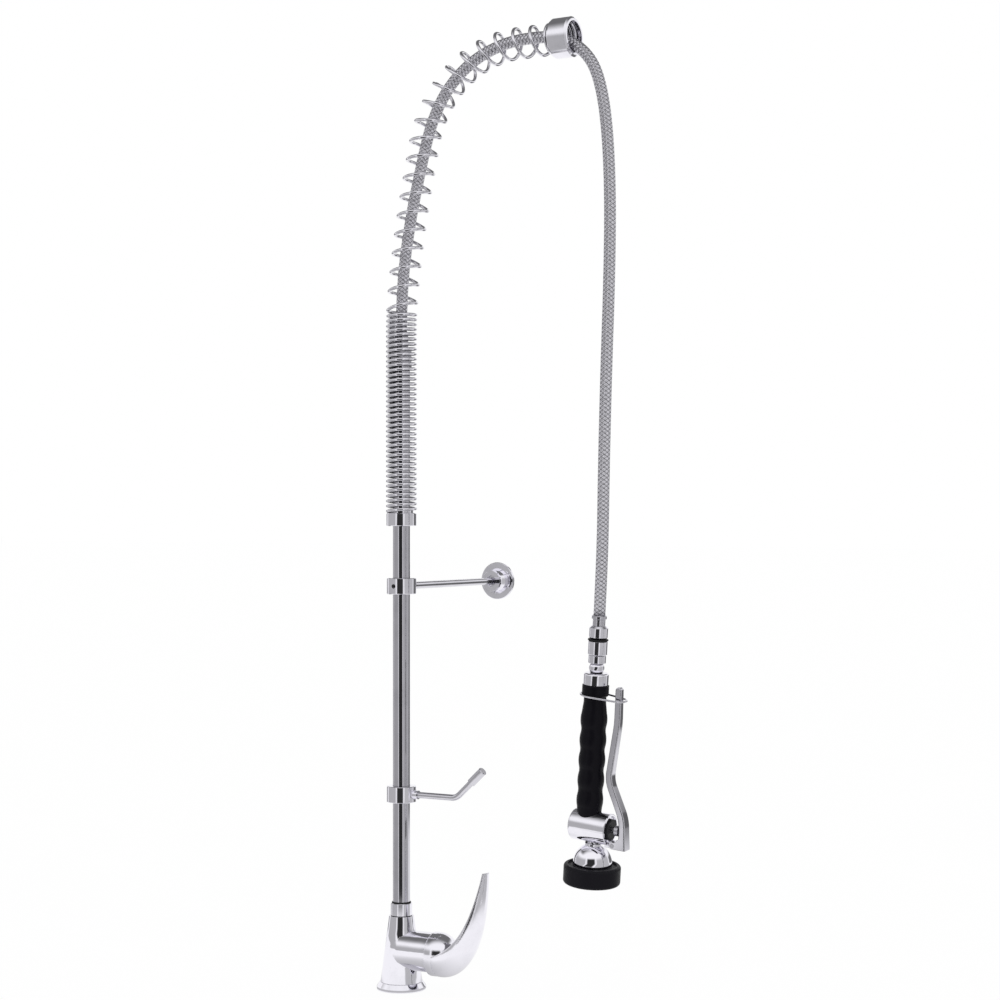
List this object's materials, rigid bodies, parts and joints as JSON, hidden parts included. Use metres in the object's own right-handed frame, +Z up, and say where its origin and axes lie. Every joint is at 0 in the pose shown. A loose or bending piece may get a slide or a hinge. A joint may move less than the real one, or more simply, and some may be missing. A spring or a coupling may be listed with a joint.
{
  "type": "pre-rinse kitchen faucet",
  "caption": "Deck-mounted single-lever faucet with a tall riser, a wall bracket, a coil-spring arch over a braided hose and a pull-down hand spray with a squeeze lever.",
  "frame": {"origin": "centre of the mixer's foot on the deck, on the riser's axis", "axes": "+Z up along the riser, +X the way the arch, the mixer's neck and the hook point, +Y towards the wall"},
  "size_m": [0.3027, 0.2385, 1.038],
  "materials": {
    "chrome": "mirror chrome plate on brass",
    "brushed_tube": "satin steel tube",
    "spring_wire": "bright stainless wire",
    "steel": "machined stainless steel",
    "brass": "bare brass",
    "hose_braid": "rubber hose under a braid of steel wire",
    "rubber_black": "matt black rubber",
    "grip_plastic": "satin black moulded grip",
    "bonnet_plastic": "dark moulded plastic",
    "cartridge_plastic": "pale moulded plastic",
    "plug_plastic": "grey plug"
  },
  "bodies": {
    "column": {"base_gasket": "rubber_black", "base_ring": "chrome", "mixer_body": "chrome", "cartridge_body": "cartridge_plastic", "cartridge_seals": "rubber_black", "cartridge_nut": "brass", "riser_nut": "chrome", "riser_seal": "rubber_black", "riser_tube": "brushed_tube", "spring_seat": "chrome", "coil_spring": "spring_wire", "spring_end_collar": "chrome", "hose_nut": "brass", "hose_tail": "steel", "hose": "hose_braid", "hose_ferrule": "chrome", "connector_sleeve": "chrome", "connector_ring": "rubber_black", "swivel_socket": "chrome"},
    "lever_turret": {"cartridge_turret": "cartridge_plastic", "stem_pin": "steel"},
    "mixer_lever": {"cartridge_stem": "brass", "mixer_handle": "chrome", "handle_grub_screw": "steel", "indicator_plug": "plug_plastic"},
    "hook_arm": {"hook_clamp": "chrome", "hook_screw": "steel", "hook_rod": "chrome", "hook_tip": "chrome"},
    "wall_bracket": {"bracket_clamp": "chrome", "bracket_screw": "steel", "bracket_rod": "chrome"},
    "wall_flange": {"wall_rosette": "chrome", "rosette_screw": "steel"},
    "handset": {"swivel_nipple": "chrome", "swivel_seal": "rubber_black", "grip_cap": "chrome", "handle_tube": "brass", "grip": "grip_plastic", "valve_body": "chrome", "bonnet": "bonnet_plastic", "packing": "rubber_black", "valve_seat": "brass", "return_spring": "steel", "pivot_pin": "steel", "spray_dome": "chrome", "spray_face": "bonnet_plastic", "bumper": "rubber_black"},
    "squeeze_lever": {"trigger_lever": "chrome"},
    "valve_stem": {"plunger": "steel", "valve_disc": "rubber_black"},
    "hold_ring": {"lock_ring": "spring_wire"}
  },
  "joints": [
    {"name": "temperature_turn", "type": "hinge", "parent": "column", "child": "lever_turret", "pos_m": [0.043, 0, 0.043], "axis": [1, 0, 0], "range_deg": [-45, 45]},
    {"name": "flow_lift", "type": "hinge", "parent": "lever_turret", "child": "mixer_lever", "pos_m": [0.043, 0, 0.043], "axis": [0, 1, 0], "range_deg": [0, 20]},
    {"name": "hook_turn", "type": "hinge", "parent": "column", "child": "hook_arm", "pos_m": [0, 0, 0.2127], "axis": [0, 0, 1], "continuous": true},
    {"name": "bracket_turn", "type": "hinge", "parent": "column", "child": "wall_bracket", "pos_m": [0, 0, 0.44], "axis": [0, 0, 1], "continuous": true},
    {"name": "rosette_slide", "type": "slide", "parent": "wall_bracket", "child": "wall_flange", "axis": [0, 1, 0], "range_m": [-0.0025, 0.005]},
    {"name": "handset_turn", "type": "hinge", "parent": "column", "child": "handset", "pos_m": [0.24374, -0.00513, 0.37336], "axis": [0.0939, -0.0698, 0.9931], "continuous": true},
    {"name": "lever_squeeze", "type": "hinge", "parent": "handset", "child": "squeeze_lever", "pos_m": [0.2567, 0.00855, 0.17574], "axis": [-0.0066, -0.9976, -0.0694], "range_deg": [0, 3.6], "stiffness_Nm_per_rad": 12, "springref_deg": -3.44},
    {"name": "plunger_slide", "type": "slide", "parent": "handset", "child": "valve_stem", "axis": [-0.9956, 0, 0.0941], "range_m": [0, 0.00096], "deforming": ["return_spring"]},
    {"name": "hold_ring_tilt", "type": "hinge", "parent": "handset", "child": "hold_ring", "pos_m": [0.22435, -0.00215, 0.3324], "axis": [0.0066, 0.9976, 0.0694], "range_deg": [-10, 12]}
  ],
  "couplings": [
    {"joint": "plunger_slide", "follows": "lever_squeeze", "m_per_rad": 0.015}
  ]
}
